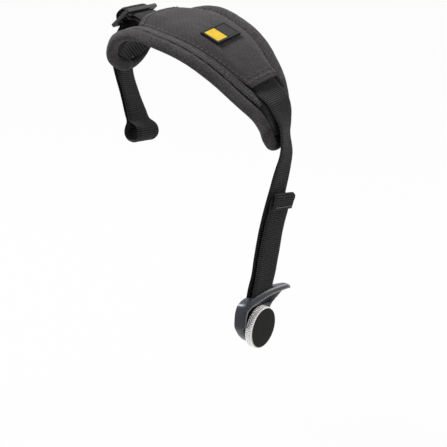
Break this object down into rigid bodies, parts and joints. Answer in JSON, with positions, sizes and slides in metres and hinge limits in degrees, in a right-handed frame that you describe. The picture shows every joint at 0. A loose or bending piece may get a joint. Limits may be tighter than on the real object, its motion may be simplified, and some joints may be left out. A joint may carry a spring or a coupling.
{
  "type": "camera hand grip strap",
  "caption": "Padded hand grip strap on a webbing loop with a tri-glide slider, held by a moulded foot and a knurled screw that fits a tripod socket.",
  "frame": {"origin": "axis of the captive tripod screw, on the face of the foot's friction pad that lies on the camera's base", "axes": "+X out of the camera's base along the screw, +Z from the screw towards the hand band, +Y across the band towards the lens side"},
  "size_m": [0.1116, 0.0504, 0.1471],
  "materials": {
    "webbing": "woven, matte",
    "sleeve_twill": "diagonal twill, matte",
    "edge_knit": "fine knit, matte",
    "binding": "coarse weave, matte",
    "lining_mesh": "open mesh, matte",
    "thread": "thread",
    "slider_plastic": "satin",
    "foot_plastic": "satin",
    "foot_rubber": "matte",
    "label_black": "satin",
    "label_yellow": "satin",
    "knurled_steel": "knurled, bright",
    "bare_steel": "machined",
    "knob_face": "satin",
    "washer_nylon": "matte"
  },
  "bodies": {
    "strap": {"foot": "foot_plastic", "friction_pad": "foot_rubber", "webbing_pin": "bare_steel", "main_webbing": "webbing", "end_stitching": "thread", "slider": "slider_plastic", "pad_core": "edge_knit", "pad_lining": "lining_mesh", "near_edge_roll": "edge_knit", "far_edge_roll": "edge_knit", "binding_strip": "binding", "sleeve_panel": "sleeve_twill", "sleeve_hem_left": "sleeve_twill", "sleeve_hem_right": "sleeve_twill", "label_base": "label_black", "label_light_field": "label_yellow", "label_dark_field": "label_black", "washer": "washer_nylon"},
    "thumb_screw": {"knob_rim": "knurled_steel", "knob_cap": "knob_face", "threaded_stud": "bare_steel", "retaining_clip": "bare_steel"}
  },
  "joints": [
    {"name": "thumb_screw_turn", "type": "hinge", "parent": "strap", "child": "thumb_screw", "pos_m": [0, 0, 0], "axis": [1, 0, 0], "continuous": true}
  ]
}
